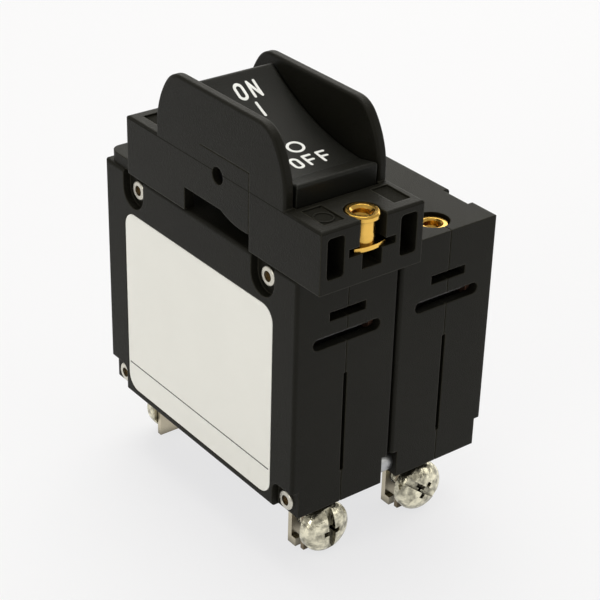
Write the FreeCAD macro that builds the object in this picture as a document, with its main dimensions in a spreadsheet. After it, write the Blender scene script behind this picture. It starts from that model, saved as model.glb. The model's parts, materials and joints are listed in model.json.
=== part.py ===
import FreeCAD, Part
import math
import operator
import os
from types import SimpleNamespace

import Sketcher
from FreeCAD import Placement, Rotation, Vector

# Two-pole rocker circuit breaker. Millimetres, +X across the poles, +Y from the line end to the
# load end, +Z up out of the panel. The case frame has its origin under the middle of the case,
# and the row frame has its origin on the ground between the four terminals.

SIZES = {
    # case of one pole, made of two moulded halves
    "pole_width": 19.05,
    "pole_gap": 0.45,
    "case_length": 51.4,
    "case_height": 41.5,
    "end_wall": 1.6,
    "side_wall": 1.75,
    "case_edge_round": 0.6,
    "seam_width": 0.16,
    "seam_depth": 0.25,
    "top_block_start": 13.2,
    "top_block_depth": 6.5,
    "foot_block_start": 19.0,
    "foot_block_top": 6.2,
    # play of parts that are fixed to each other, and of those that are only laid in place
    "fixed_play": 0.05,
    "laid_play": 0.1,
    "cut_beyond": 1.0,
    # rivets and the recesses that sink their heads
    "rivet_radius": 1.2,
    "rivet_bore": 0.85,
    "rivet_hollow": 1.8,
    "rivet_head_radius": 1.65,
    "rivet_head_height": 0.45,
    "rivet_head_round": 0.3,
    "rivet_recess": 1.35,
    "upper_rivet_reach": 17.4,
    "upper_rivet_drop": 2.9,
    "upper_recess_width": 5.8,
    "lower_rivet_reach": 22.9,
    "lower_rivet_height": 2.0,
    "lower_recess_start": 20.7,
    "lower_recess_height": 4.8,
    "lower_recess_round": 1.5,
    "spacer_radius": 1.9,
    # vents and the slit at the parting of each end wall
    "upper_vent_width": 6.8,
    "upper_vent_floor": 33.2,
    "upper_vent_height": 1.5,
    "lower_vent_width": 12.7,
    "lower_vent_floor": 28.9,
    "lower_vent_height": 2.0,
    "parting_slit": 0.7,
    "parting_slit_floor": 5.8,
    "parting_slit_top": 23.4,
    # rating label, sunk flush in the outer side
    "label_length": 40.0,
    "label_height": 33.15,
    "label_floor": 1.35,
    "label_round": 2.6,
    "label_thickness": 0.12,
    "label_recess": 0.15,
    # brass inserts
    "insert_bore": 1.4,
    "case_insert_reach": 21.4,
    "case_insert_radius": 2.6,
    "case_insert_length": 4.6,
    "case_insert_sink": 0.5,
    "insert_groove": 0.3,
    "insert_groove_length": 0.9,
    "bezel_insert_reach": 22.1,
    "bezel_insert_flange": 2.65,
    "bezel_insert_radius": 2.05,
    "bezel_insert_rim": 0.8,
    "insert_edge_break": 0.27,
    "insert_mouth": 0.4,
    "insert_plate_width": 5.6,
    "insert_plate_thickness": 0.7,
    "insert_plate_depth": 4.0,
    "insert_plate_bow": 8.1,
    # bezel with its two guard walls
    "bezel_length": 49.5,
    "bezel_step": 0.5,
    "bezel_height": 9.9,
    "nose_round": 0.4,
    "nose_overhang": 5.05,
    "flange_length": 6.4,
    "flange_height": 1.9,
    "flange_inset": 0.5,
    "guard_height": 21.3,
    "guard_thickness": 1.7,
    "guard_reach": 16.35,
    "guard_shoulder": 12.4,
    "guard_top_reach": 11.9,
    "guard_bow": 13.5,
    "guard_corner": 4.5,
    "guard_round": 0.5,
    "well_reach": 16.85,
    "window_start": -7.95,
    "window_end": 8.75,
    "window_height": 3.8,
    "tongue_start": -0.8,
    "tongue_drop": 1.1,
    "tongue_radius": 13.5,
    "step_line_start": 4.5,
    "step_line_height": 12.5,
    "step_line_width": 0.16,
    "step_line_depth": 0.12,
    "nose_slot_width": 3.05,
    "nose_slot_middle": 6.6,
    "nose_slot_floor": 2.1,
    "nose_slot_height": 6.5,
    "nose_slot_depth": 5.0,
    "nose_slot_round": 0.6,
    "barrel_slot_width": 4.8,
    "tee_slot_width": 8.5,
    "tee_slot_floor": 4.6,
    "tee_slot_height": 1.3,
    "tee_slot_depth": 5.6,
    "lower_slot_width": 3.6,
    "left_pad_start": 3.8,
    "left_pad_end": 7.4,
    "right_pad_start": 5.1,
    "right_pad_end": 8.2,
    "nose_pad_length": 5.3,
    "nose_pad_start": 17.65,
    "nose_pad_sink": 0.4,
    # rocker
    "pivot_height": 9.0,
    "pin_radius": 1.35,
    "pin_play": 0.07,
    "pin_sink": 1.1,
    "rocker_travel": 30.0,
    "rocker_play": 0.35,
    "rocker_wall": 1.5,
    "skirt_wall": 2.7,
    "crown_wall": 2.8,
    "rocker_far_reach": 11.6,
    "rocker_far_height": 8.55,
    "rocker_near_reach": 11.6,
    "rocker_near_height": 6.75,
    "rocker_dish": 40.6,
    "lip_reach": 14.8,
    "lip_height": 8.4,
    "near_skirt_radius": 16.3,
    "far_skirt_radius": 15.0,
    "skirt_rise": 18.0,
    "skirt_drop": 15.0,
    "rocker_round": 0.5,
    "hub_radius": 3.0,
    "lug_length": 15.0,
    "lug_width": 3.4,
    "lug_thickness": 2.4,
    "lug_window_play": 3.3,
    # toggle link and its pins
    "link_pin": 0.8,
    "link_play": 0.1,
    "link_width": 3.2,
    "link_plate": 0.9,
    "link_side_gap": 0.35,
    "arm_slot_play": 0.5,
    "arm_slot_drop": 1.5,
    # contact shaft and arms
    "shaft_along": 8.0,
    "shaft_drop": 15.5,
    "shaft_radius": 2.2,
    "shaft_play": 0.1,
    "bearing_radius": 3.5,
    "bearing_length": 2.0,
    "arm_thickness": 2.4,
    "arm_pin_reach": 17.9,
    "arm_pin_rise": 1.0,
    "arm_tip_reach": 25.6,
    "arm_tip_depth": 2.3,
    "arm_collar": 3.0,
    "arm_lobe": 4.6,
    "arm_lobe_start": 13.3,
    "arm_lobe_end": 21.1,
    "arm_foot_start": 20.2,
    "contact_reach": 23.1,
    "contact_radius": 2.3,
    "contact_thickness": 1.3,
    "arm_foot": 4.6,
    "contact_gap_closed": 0.15,
    # terminals and their screws
    "tab_width": 6.4,
    "tab_thickness": 0.9,
    "tab_drop": 11.7,
    "line_tab_reach": 17.3,
    "load_tab_reach": 20.9,
    "tab_ear_width": 1.2,
    "tab_ear_height": 1.5,
    "tab_ear_reach": 1.1,
    "clamp_plate_height": 8.4,
    "clamp_plate_thickness": 0.8,
    "clamp_plate_lift": 0.6,
    "load_strip_top": 14.0,
    "screw_drop": 7.0,
    "screw_radius": 2.05,
    "screw_head_radius": 4.1,
    "line_head_start": 21.0,
    "load_head_start": 21.45,
    "screw_head_height": 3.3,
    "screw_head_side": 1.1,
    "screw_head_round": 3.1,
    "screw_crown_radius": 2.0,
    "screw_crown_drop": 0.12,
    "screw_recess_width": 1.15,
    "screw_recess_reach": 2.55,
    "screw_recess_depth": 1.7,
    "screw_point": 1.5,
    "screw_tail": 14.6,
    # magnet: frame, bobbin, winding, dashpot tube, armature
    "magnet_sheet": 1.4,
    "magnet_width": 10.0,
    "magnet_floor": 1.65,
    "magnet_back": 15.0,
    "magnet_front": -7.6,
    "magnet_top": 16.8,
    "hinge_along": -5.9,
    "hinge_height": 4.4,
    "hinge_pin": 0.7,
    "hinge_play": 0.08,
    "ear_thickness": 1.0,
    "coil_height": 10.0,
    "tube_radius": 2.8,
    "tube_wall": 0.5,
    "tube_end": 15.9,
    "cap_radius": 3.7,
    "cap_thickness": 0.8,
    "air_gap": 1.2,
    "core_radius": 2.0,
    "core_length": 6.0,
    "core_rest": 0.4,
    "bobbin_radius": 6.5,
    "bobbin_hub": 3.4,
    "bobbin_flange": 0.8,
    "bobbin_start": -2.2,
    "winding_radius": 6.0,
    "armature_width": 7.2,
    "armature_thickness": 1.2,
    "armature_rise": 15.0,
    "armature_foot": 1.0,
    "armature_shoulder": 10.5,
    "armature_tip": 3.6,
    # arc chute
    "arc_plate_pitch": 2.2,
    "arc_plate_thickness": 0.8,
    "arc_plate_width": 11.0,
    "arc_plate_depth": 5.4,
    "arc_chute_drop": 5.4,
    "arc_side_thickness": 0.8,
    # braid between winding and arm
    "braid_radius": 0.9,
    "braid_lean": 1.8,
    "braid_bend": 1.35,
}

doc = FreeCAD.newDocument("RockerBreaker")


class Size:
    """A length or an angle: its value, and the sheet expression that gives it."""

    def __init__(self, value, text=None):
        self.value = float(value)
        self.text = repr(float(value)) if text is None else text

    def __add__(self, other):
        return combine(self, "+", other)

    def __radd__(self, other):
        return combine(other, "+", self)

    def __sub__(self, other):
        return combine(self, "-", other)

    def __rsub__(self, other):
        return combine(other, "-", self)

    def __mul__(self, other):
        return combine(self, "*", other)

    def __rmul__(self, other):
        return combine(other, "*", self)

    def __truediv__(self, other):
        return combine(self, "/", other)

    def __neg__(self):
        return combine(-1, "*", self)


OPERATIONS = {"+": operator.add, "-": operator.sub, "*": operator.mul, "/": operator.truediv}


def as_size(value):
    return value if isinstance(value, Size) else Size(value)


def combine(left, sign, right):
    left = as_size(left)
    right = as_size(right)
    return Size(OPERATIONS[sign](left.value, right.value), f"({left.text} {sign} {right.text})")


def sine(angle):
    angle = as_size(angle)
    return Size(math.sin(math.radians(angle.value)), f"sin({angle.text})")


def cosine(angle):
    angle = as_size(angle)
    return Size(math.cos(math.radians(angle.value)), f"cos({angle.text})")


def write_sheet():
    """Fill the sheet and hand back one named Size for each of its cells."""
    sheet = doc.addObject("Spreadsheet::Sheet", "Sizes")
    for row, (name, value) in enumerate(SIZES.items(), start=1):
        sheet.set(f"A{row}", name)
        sheet.set(f"B{row}", str(value))
        sheet.setAlias(f"B{row}", name)
    doc.recompute()
    return SimpleNamespace(**{name: Size(value, f"Sizes.{name}") for name, value in SIZES.items()})


S = write_sheet()
ZERO = Size(0)
CLOCKWISE = -1
COUNTER = 1


class Drawing:
    """A sketch on one of its body's origin planes, every point of it held by the sheet."""

    def __init__(self, body, plane, offset):
        self.sketch = body.newObject("Sketcher::SketchObject", f"{body.Name}_sketch")
        features = {feature.Role: feature for feature in body.Origin.OriginFeatures}
        self.sketch.AttachmentSupport = [(features[plane], "")]
        self.sketch.MapMode = "FlatFace"
        if offset is not None:
            self.sketch.AttachmentOffset = Placement(Vector(0, 0, offset.value), Rotation())
            self.sketch.setExpression("AttachmentOffset.Base.z", offset.text)

    def hold(self, kind, geometry, point, size):
        """Hold one coordinate of a point, or a radius, to a size."""
        size = as_size(size)
        if kind == "Radius":
            index = self.sketch.addConstraint(Sketcher.Constraint(kind, geometry, size.value))
            self.sketch.setExpression(f"Constraints[{index}]", size.text)
        elif abs(size.value) < 1e-9:
            axis = -2 if kind == "DistanceX" else -1
            self.sketch.addConstraint(Sketcher.Constraint("PointOnObject", geometry, point, axis))
        else:
            held = Sketcher.Constraint(kind, -1, 1, geometry, point, size.value)
            index = self.sketch.addConstraint(held)
            self.sketch.setExpression(f"Constraints[{index}]", size.text)

    def outline(self, corners):
        """Closed loop through corners (across, up) or (across, up, turn, radius).

        The turn and radius are those of the arc that leads from this corner to the next one. A
        radius of None makes the arc a half circle.
        """
        points = [Vector(as_size(c[0]).value, as_size(c[1]).value, 0) for c in corners]
        count = len(corners)
        heads = []
        tails = []
        for index, corner in enumerate(corners):
            start = points[index]
            end = points[(index + 1) % count]
            if len(corner) == 2:
                geometry = self.sketch.addGeometry(Part.LineSegment(start, end))
                heads.append((geometry, 1))
                tails.append((geometry, 2))
                continue
            turn, radius = corner[2], corner[3]
            half = start.distanceToPoint(end) / 2
            reach = half if radius is None else radius.value
            middle = (start + end) / 2
            along = (end - start).normalize()
            left = Vector(-along.y, along.x, 0)
            centre = middle + left * turn * math.sqrt(max(reach ** 2 - half ** 2, 0))
            first, last = (start, end) if turn == COUNTER else (end, start)
            angles = [math.atan2(p.y - centre.y, p.x - centre.x) for p in (first, last)]
            circle = Part.Circle(centre, Vector(0, 0, 1), reach)
            geometry = self.sketch.addGeometry(Part.ArcOfCircle(circle, angles[0], angles[1]))
            heads.append((geometry, 1 if turn == COUNTER else 2))
            tails.append((geometry, 2 if turn == COUNTER else 1))
        for index in range(count):
            after = (index + 1) % count
            joined = Sketcher.Constraint("Coincident", *tails[index], *heads[after])
            self.sketch.addConstraint(joined)
        for index, corner in enumerate(corners):
            self.hold("DistanceX", *heads[index], corner[0])
            self.hold("DistanceY", *heads[index], corner[1])
            if len(corner) == 2:
                continue
            if corner[3] is not None:
                self.hold("Radius", heads[index][0], None, corner[3])
            elif abs(points[index].x - points[(index + 1) % count].x) < 1e-6:
                self.hold("DistanceX", heads[index][0], 3, corner[0])
            else:
                self.hold("DistanceY", heads[index][0], 3, corner[1])
        return self

    def rectangle(self, left, bottom, right, top):
        return self.outline([(left, bottom), (right, bottom), (right, top), (left, top)])

    def rounded(self, left, bottom, right, top, radius):
        """Rectangle with round corners."""
        return self.outline([
            (left + radius, bottom),
            (right - radius, bottom, COUNTER, radius),
            (right, bottom + radius),
            (right, top - radius, COUNTER, radius),
            (right - radius, top),
            (left + radius, top, COUNTER, radius),
            (left, top - radius),
            (left, bottom + radius, COUNTER, radius),
        ])

    def circle(self, across, up, radius):
        centre = Vector(as_size(across).value, as_size(up).value, 0)
        made = Part.Circle(centre, Vector(0, 0, 1), as_size(radius).value)
        geometry = self.sketch.addGeometry(made)
        self.hold("DistanceX", geometry, 3, across)
        self.hold("DistanceY", geometry, 3, up)
        self.hold("Radius", geometry, None, radius)
        return self


class Piece:
    """One PartDesign body with its features, placed by its own origin in the case frame."""

    def __init__(self, label, across, along, up, turn=None):
        self.body = doc.addObject("PartDesign::Body", label)
        self.body.Label = label
        base = (as_size(across), CASE_ALONG + along, CASE_UP + up)
        rotation = Rotation() if turn is None else Rotation(*turn)
        self.body.Placement = Placement(Vector(*[b.value for b in base]), rotation)
        for axis, size in zip("xyz", base):
            self.body.setExpression(f"Placement.Base.{axis}", size.text)

    def draw(self, plane, offset=None):
        return Drawing(self.body, plane, offset)

    def feature(self, kind, drawing, length, way):
        made = self.body.newObject(f"PartDesign::{kind}", f"{self.body.Name}_{kind}")
        made.Profile = drawing.sketch
        made.Length = as_size(length).value
        made.setExpression("Length", as_size(length).text)
        if way == "both":
            made.SideType = "Symmetric"
        else:
            made.Reversed = way == "back"
        drawing.sketch.Visibility = False
        return made

    def pad(self, drawing, length, way="out"):
        """Add material along the sketch's normal ("out"), against it ("back") or both ways."""
        return self.feature("Pad", drawing, length, way)

    def cut(self, drawing, length, way="out"):
        """Remove material against the sketch's normal ("out"), along it ("back") or both ways."""
        return self.feature("Pocket", drawing, length, way)

    def revolve(self, drawing, groove=False):
        """Turn a half profile about the sketch's upright axis."""
        kind = "Groove" if groove else "Revolution"
        made = self.body.newObject(f"PartDesign::{kind}", f"{self.body.Name}_{kind}")
        made.Profile = drawing.sketch
        made.ReferenceAxis = (drawing.sketch, ["V_Axis"])
        made.Angle = 360
        drawing.sketch.Visibility = False
        return made

    def soften(self, chosen, radius, kind="Fillet"):
        """Round or bevel the edges that the chooser picks from the solid as it now stands."""
        doc.recompute()
        tip = self.body.Tip
        names = [f"Edge{n}" for n, edge in enumerate(tip.Shape.Edges, start=1) if chosen(edge)]
        made = self.body.newObject(f"PartDesign::{kind}", f"{self.body.Name}_{kind}")
        made.Base = (tip, names)
        field = "Radius" if kind == "Fillet" else "Size"
        setattr(made, field, radius.value)
        made.setExpression(field, radius.text)
        return made


def group(label, pieces):
    """Like pieces kept as separate solids of one node."""
    made = doc.addObject("Part::Compound", label)
    made.Label = label
    made.Links = [piece.body for piece in pieces]
    return made


# --- places shared by several pieces -------------------------------------------------------

CASE_ALONG = S.nose_overhang / 2
CASE_UP = S.tab_drop
HALF_POLE = S.pole_width / 2
HALF_GAP = S.pole_gap / 2
CASE_END = S.case_length / 2
POLES = {"a": -HALF_POLE - HALF_GAP, "b": HALF_POLE + HALF_GAP}
BEZEL_WIDTH = S.pole_width - S.bezel_step
BEZEL_X = BEZEL_WIDTH / 2 - S.pole_width - HALF_GAP
BEZEL_Y = S.bezel_length / 2 - CASE_END - S.nose_overhang
PIVOT_Z = S.case_height + S.pivot_height
REST_TILT = S.rocker_travel / 2
ROCKER_HALF = BEZEL_WIDTH / 2 - S.guard_thickness - S.rocker_play
LUG_X = POLES["a"] - BEZEL_X
SHAFT_UP = S.case_height - S.shaft_drop
UPPER_RIVET_UP = S.case_height - S.upper_rivet_drop
ENDS = (-1, 1)
TAB_REACH = {-1: S.line_tab_reach, 1: S.load_tab_reach}
HEAD_START = {-1: S.line_head_start, 1: S.load_head_start}
ARC_PLATES = 6
BRAID_KNEE = 0.3
NEAR = 1e-4


def linkage():
    """Rest angles of the contact arm and of the toggle link, and their whole travels, degrees.

    With the rocker on, the link joins the lug's pin to the arm's pin; its length is that gap. With
    the rocker off, the arm's pin is where the link's circle meets the arm's circle.
    """
    tilt = math.radians(REST_TILT.value)
    lug = S.lug_length.value
    pivot = Vector(0, BEZEL_Y.value, PIVOT_Z.value)
    lug_on = pivot + Vector(0, -lug * math.sin(tilt), -lug * math.cos(tilt))
    lug_off = pivot + Vector(0, lug * math.sin(tilt), -lug * math.cos(tilt))
    shaft = Vector(0, S.shaft_along.value, SHAFT_UP.value)
    pin_on = shaft + Vector(0, -S.arm_pin_reach.value, S.arm_pin_rise.value)
    length = (lug_on - pin_on).Length
    reach = (pin_on - shaft).Length
    span = lug_off - shaft
    along = (reach ** 2 - length ** 2 + span.Length ** 2) / (2 * span.Length)
    off_line = math.sqrt(reach ** 2 - along ** 2)
    unit = Vector(span).normalize()
    pin_off = shaft + unit * along + Vector(0, -unit.z, unit.y) * off_line
    arm_on = math.atan2(pin_on.z - shaft.z, pin_on.y - shaft.y)
    arm_off = math.atan2(pin_off.z - shaft.z, pin_off.y - shaft.y)
    swing = math.degrees((arm_on - arm_off) % (2 * math.pi))
    hang_on = math.degrees(math.atan2(pin_on.y - lug_on.y, lug_on.z - pin_on.z))
    hang_off = math.degrees(math.atan2(pin_off.y - lug_off.y, lug_off.z - pin_off.z))
    return SimpleNamespace(
        swing=swing,
        length=length,
        hang=hang_off,
        turn=hang_on - hang_off + S.rocker_travel.value,
        lug=lug_off,
    )


LINKAGE = linkage()
X_AXIS = Vector(1, 0, 0)
Y_AXIS = Vector(0, 1, 0)


# --- case ----------------------------------------------------------------------------------

def case_half(label, pole, side):
    """One moulded half: side -1 has its wall towards -X, side +1 towards +X."""
    half = Piece(label, POLES[pole], ZERO, ZERO)
    outward = "out" if side > 0 else "back"
    inward_cut = "out" if side > 0 else "back"
    hollow_cut = "back" if side > 0 else "out"
    outer_face = HALF_POLE * side
    block = half.draw("YZ_Plane").rectangle(-CASE_END, ZERO, CASE_END, S.case_height)
    half.pad(block, HALF_POLE, outward)

    def on_outer_face(edge):
        return all(abs(v.X - outer_face.value) < NEAR for v in edge.Vertexes)

    half.soften(on_outer_face, S.case_edge_round)

    seam = half.draw("YZ_Plane")
    seam.rectangle(-CASE_END - S.cut_beyond, -S.cut_beyond, CASE_END + S.cut_beyond,
                   S.case_height + S.cut_beyond)
    seam.rectangle(S.seam_depth - CASE_END, S.seam_depth, CASE_END - S.seam_depth,
                   S.case_height - S.seam_depth)
    half.cut(seam, S.seam_width / 2, hollow_cut)

    inner_end = CASE_END - S.end_wall
    ceiling = S.case_height - S.end_wall
    block_floor = S.case_height - S.top_block_depth
    right = [
        (S.foot_block_start, S.end_wall),
        (S.foot_block_start, S.foot_block_top),
        (inner_end, S.foot_block_top),
        (inner_end, block_floor),
        (S.top_block_start, block_floor),
        (S.top_block_start, ceiling),
    ]
    left = [(-along, up) for along, up in reversed(right)]
    half.cut(half.draw("YZ_Plane").outline(right + left), HALF_POLE - S.side_wall, hollow_cut)

    vents = half.draw("XZ_Plane")
    upper_half = S.upper_vent_width / 2
    vents.rectangle(-upper_half, S.upper_vent_floor, upper_half,
                    S.upper_vent_floor + S.upper_vent_height)
    vent_round = S.lower_vent_height / 2
    lower_half = S.lower_vent_width / 2 - vent_round
    lower_top = S.lower_vent_floor + S.lower_vent_height
    vents.outline([
        (-lower_half, S.lower_vent_floor),
        (lower_half, S.lower_vent_floor, COUNTER, None),
        (lower_half, lower_top),
        (-lower_half, lower_top, COUNTER, None),
    ])
    slit = S.parting_slit / 2
    vents.rectangle(-slit, S.parting_slit_floor, slit, S.parting_slit_top)
    half.cut(vents, S.case_length * 2, "both")

    recesses = half.draw("YZ_Plane", outer_face)
    recess_half = S.upper_recess_width / 2
    for end in ENDS:
        middle = S.upper_rivet_reach * end
        recesses.outline([
            (middle - recess_half, UPPER_RIVET_UP, COUNTER, None),
            (middle + recess_half, UPPER_RIVET_UP),
            (middle + recess_half, S.case_height + S.rivet_recess),
            (middle - recess_half, S.case_height + S.rivet_recess),
        ])
        beyond = (CASE_END + S.cut_beyond) * end
        corner = [
            (S.lower_recess_start * end, -S.rivet_recess),
            (beyond, -S.rivet_recess),
            (beyond, S.lower_recess_height),
            ((S.lower_recess_start + S.lower_recess_round) * end, S.lower_recess_height,
             end, S.lower_recess_round),
            (S.lower_recess_start * end, S.lower_recess_height - S.lower_recess_round),
        ]
        recesses.outline(corner)
    half.cut(recesses, S.rivet_recess, inward_cut)

    rivets = half.draw("YZ_Plane")
    rivet_hole = S.rivet_radius + S.fixed_play
    for end in ENDS:
        rivets.circle(S.upper_rivet_reach * end, UPPER_RIVET_UP, rivet_hole)
        rivets.circle(S.lower_rivet_reach * end, S.lower_rivet_height, rivet_hole)
    half.cut(rivets, S.pole_width, hollow_cut)

    inserts = half.draw("XY_Plane", S.case_height)
    for end in ENDS:
        inserts.circle(ZERO, S.case_insert_reach * end, S.case_insert_radius + S.laid_play)
    half.cut(inserts, S.case_insert_sink + S.case_insert_length)

    slots = half.draw("YZ_Plane")
    slot_half = S.tab_thickness / 2 + S.fixed_play
    for end in ENDS:
        middle = TAB_REACH[end] * end
        slots.rectangle(middle - slot_half, -S.end_wall, middle + slot_half,
                        S.foot_block_top + S.cut_beyond)
    half.cut(slots, S.tab_width / 2 + S.fixed_play, hollow_cut)

    if pole == "a":
        window = half.draw("YZ_Plane")
        reach = S.lug_width / 2 + S.lug_window_play
        window.rectangle(BEZEL_Y - reach, ceiling - S.end_wall / 2, BEZEL_Y + reach,
                         S.case_height + S.end_wall)
        half.cut(window, S.lug_thickness, hollow_cut)

    bore = S.shaft_radius + S.shaft_play
    outside = (pole == "a") == (side < 0)
    if outside:
        inside_wall = (HALF_POLE - S.side_wall / 2) * side
        ring = half.draw("YZ_Plane", inside_wall)
        ring.circle(S.shaft_along, SHAFT_UP, S.bearing_radius)
        ring.circle(S.shaft_along, SHAFT_UP, bore)
        half.pad(ring, S.side_wall / 2 + S.bearing_length, "back" if side > 0 else "out")
    else:
        passage = half.draw("YZ_Plane").circle(S.shaft_along, SHAFT_UP, bore)
        half.cut(passage, S.pole_width, hollow_cut)

    if label == "case_a_outer":
        label_seat = half.draw("YZ_Plane", outer_face)
        label_outline(label_seat, S.laid_play)
        half.cut(label_seat, S.label_recess, inward_cut)
    return half


def label_outline(drawing, grow):
    """The label's outline, or its seat when grown by a small gap."""
    side = S.label_length / 2 + grow
    low = S.label_floor - grow
    high = S.label_floor + S.label_height + grow
    return drawing.rounded(-side, low, side, high, S.label_round)


def rating_label():
    label = Piece("rating_label", -S.pole_width - HALF_GAP, ZERO, ZERO)
    face = label_outline(label.draw("YZ_Plane", S.label_recess - S.label_thickness), ZERO)
    label.pad(face, S.label_thickness)
    return label


def case_rivets():
    """Rivets with hollow ends through both poles, their heads sunk in the side recesses."""
    pieces = []
    places = [(S.upper_rivet_reach * end, UPPER_RIVET_UP) for end in ENDS]
    places += [(S.lower_rivet_reach * end, S.lower_rivet_height) for end in ENDS]
    seat = S.pole_width + HALF_GAP - S.rivet_recess
    crown = seat + S.rivet_head_height
    turn = S.rivet_head_round
    floor = crown - S.rivet_hollow
    for number, (along, up) in enumerate(places, start=1):
        rivet = Piece(f"case_rivet_{number}", ZERO, along, up, (Y_AXIS, 90))
        profile = rivet.draw("XZ_Plane").outline([
            (ZERO, -floor),
            (S.rivet_bore, -floor),
            (S.rivet_bore, -crown),
            (S.rivet_head_radius - turn, -crown, COUNTER, turn),
            (S.rivet_head_radius, turn - crown),
            (S.rivet_head_radius, -seat),
            (S.rivet_radius, -seat),
            (S.rivet_radius, seat),
            (S.rivet_head_radius, seat),
            (S.rivet_head_radius, crown - turn, COUNTER, turn),
            (S.rivet_head_radius - turn, crown),
            (S.rivet_bore, crown),
            (S.rivet_bore, floor),
            (ZERO, floor),
        ])
        rivet.revolve(profile)
        pieces.append(rivet)
    return group("case_rivets", pieces)


def rivet_spacers():
    """Tubes on the lower rivets that hold the two poles a gap apart."""
    pieces = []
    for end, name in zip(ENDS, ("near", "far")):
        place = (ZERO, S.lower_rivet_reach * end, S.lower_rivet_height)
        spacer = Piece(f"rivet_spacer_{name}", *place)
        ring = spacer.draw("YZ_Plane")
        ring.circle(ZERO, ZERO, S.spacer_radius)
        ring.circle(ZERO, ZERO, S.rivet_radius + S.fixed_play)
        spacer.pad(ring, (HALF_GAP + S.rivet_recess) * 2, "both")
        pieces.append(spacer)
    return group("rivet_spacers", pieces)


def case_inserts():
    """Brass sleeves in the tops of both poles, with a groove at mid length that keys them."""
    pieces = []
    top = S.case_height - S.case_insert_sink
    depth = S.case_insert_length
    groove = S.insert_groove
    upper = S.insert_groove_length / 2 - depth / 2
    lower = upper - S.insert_groove_length
    for pole, across in POLES.items():
        for end, name in zip(ENDS, ("near", "far")):
            insert = Piece(f"case_insert_{pole}_{name}", across, S.case_insert_reach * end, top)
            profile = insert.draw("XZ_Plane").outline([
                (S.insert_bore, -depth),
                (S.case_insert_radius, -depth),
                (S.case_insert_radius, lower),
                (S.case_insert_radius - groove, lower),
                (S.case_insert_radius - groove, upper),
                (S.case_insert_radius, upper),
                (S.case_insert_radius, -groove),
                (S.case_insert_radius - groove, ZERO),
                (S.insert_bore + groove, ZERO),
                (S.insert_bore, -groove),
            ])
            insert.revolve(profile)
            pieces.append(insert)
    return group("case_inserts", pieces)


# --- bezel ---------------------------------------------------------------------------------

def rocker_bezel():
    """Bezel, nose and guard walls in one moulding on top of pole a."""
    bezel = Piece("rocker_bezel", BEZEL_X, BEZEL_Y, S.case_height)
    half_width = BEZEL_WIDTH / 2
    half_length = S.bezel_length / 2
    base = bezel.draw("XY_Plane").rectangle(-half_width, -half_length, half_width, half_length)
    bezel.pad(base, S.bezel_height)

    def top_edge(edge):
        return all(abs(v.Z - S.bezel_height.value) < NEAR for v in edge.Vertexes)

    bezel.soften(top_edge, S.nose_round)

    inset = S.flange_inset
    flange = bezel.draw("XY_Plane").outline([
        (inset - half_width, half_length - S.guard_thickness),
        (half_width - inset, half_length - S.guard_thickness),
        (half_width - inset, half_length + S.flange_length - S.flange_height, COUNTER,
         S.flange_height),
        (half_width - inset - S.flange_height, half_length + S.flange_length),
        (inset - half_width + S.flange_height, half_length + S.flange_length, COUNTER,
         S.flange_height),
        (inset - half_width, half_length + S.flange_length - S.flange_height),
    ])
    bezel.pad(flange, S.flange_height)

    for side in ENDS:
        wall = bezel.draw("YZ_Plane", half_width * side).outline([
            (-S.guard_reach, S.bezel_height / 2),
            (S.guard_reach, S.bezel_height / 2),
            (S.guard_reach, S.guard_shoulder, COUNTER, S.guard_bow),
            (S.guard_top_reach, S.guard_height),
            (-S.guard_top_reach, S.guard_height, COUNTER, S.guard_bow),
            (-S.guard_reach, S.guard_shoulder),
        ])
        bezel.pad(wall, S.guard_thickness, "back" if side > 0 else "out")

    def guard_corner(edge):
        box = edge.BoundBox
        return box.ZMin > S.guard_height.value - NEAR and box.YLength < NEAR

    def guard_rim(edge):
        box = edge.BoundBox
        return box.ZMax > S.guard_shoulder.value + NEAR and box.XLength < NEAR

    bezel.soften(guard_corner, S.guard_corner)
    bezel.soften(guard_rim, S.guard_round)

    inner = half_width - S.guard_thickness
    well = bezel.draw("XY_Plane").rectangle(-inner, -S.well_reach, inner, S.well_reach)
    bezel.cut(well, S.guard_height * 2, "both")

    openings = bezel.draw("YZ_Plane")
    tongue_end = S.window_height - S.tongue_drop
    openings.outline([
        (S.window_start, -S.window_height),
        (S.window_end, -S.window_height),
        (S.window_end, S.window_height),
        (S.tongue_start, S.window_height, CLOCKWISE, S.tongue_radius),
        (S.window_start, tongue_end),
    ])
    openings.circle(ZERO, S.pivot_height, S.pin_radius + S.fixed_play)
    bezel.cut(openings, BEZEL_WIDTH * 2, "both")

    inside = S.window_start + S.step_line_width
    line = bezel.draw("YZ_Plane", -half_width).outline([
        (S.window_start, tongue_end - S.cut_beyond),
        (inside, tongue_end - S.cut_beyond),
        (inside, S.step_line_height - S.step_line_width),
        (S.step_line_start, S.step_line_height - S.step_line_width),
        (S.step_line_start, S.step_line_height),
        (S.window_start, S.step_line_height),
    ])
    bezel.cut(line, S.step_line_depth, "back")

    nose_slots(bezel, half_length)
    return bezel


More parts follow.
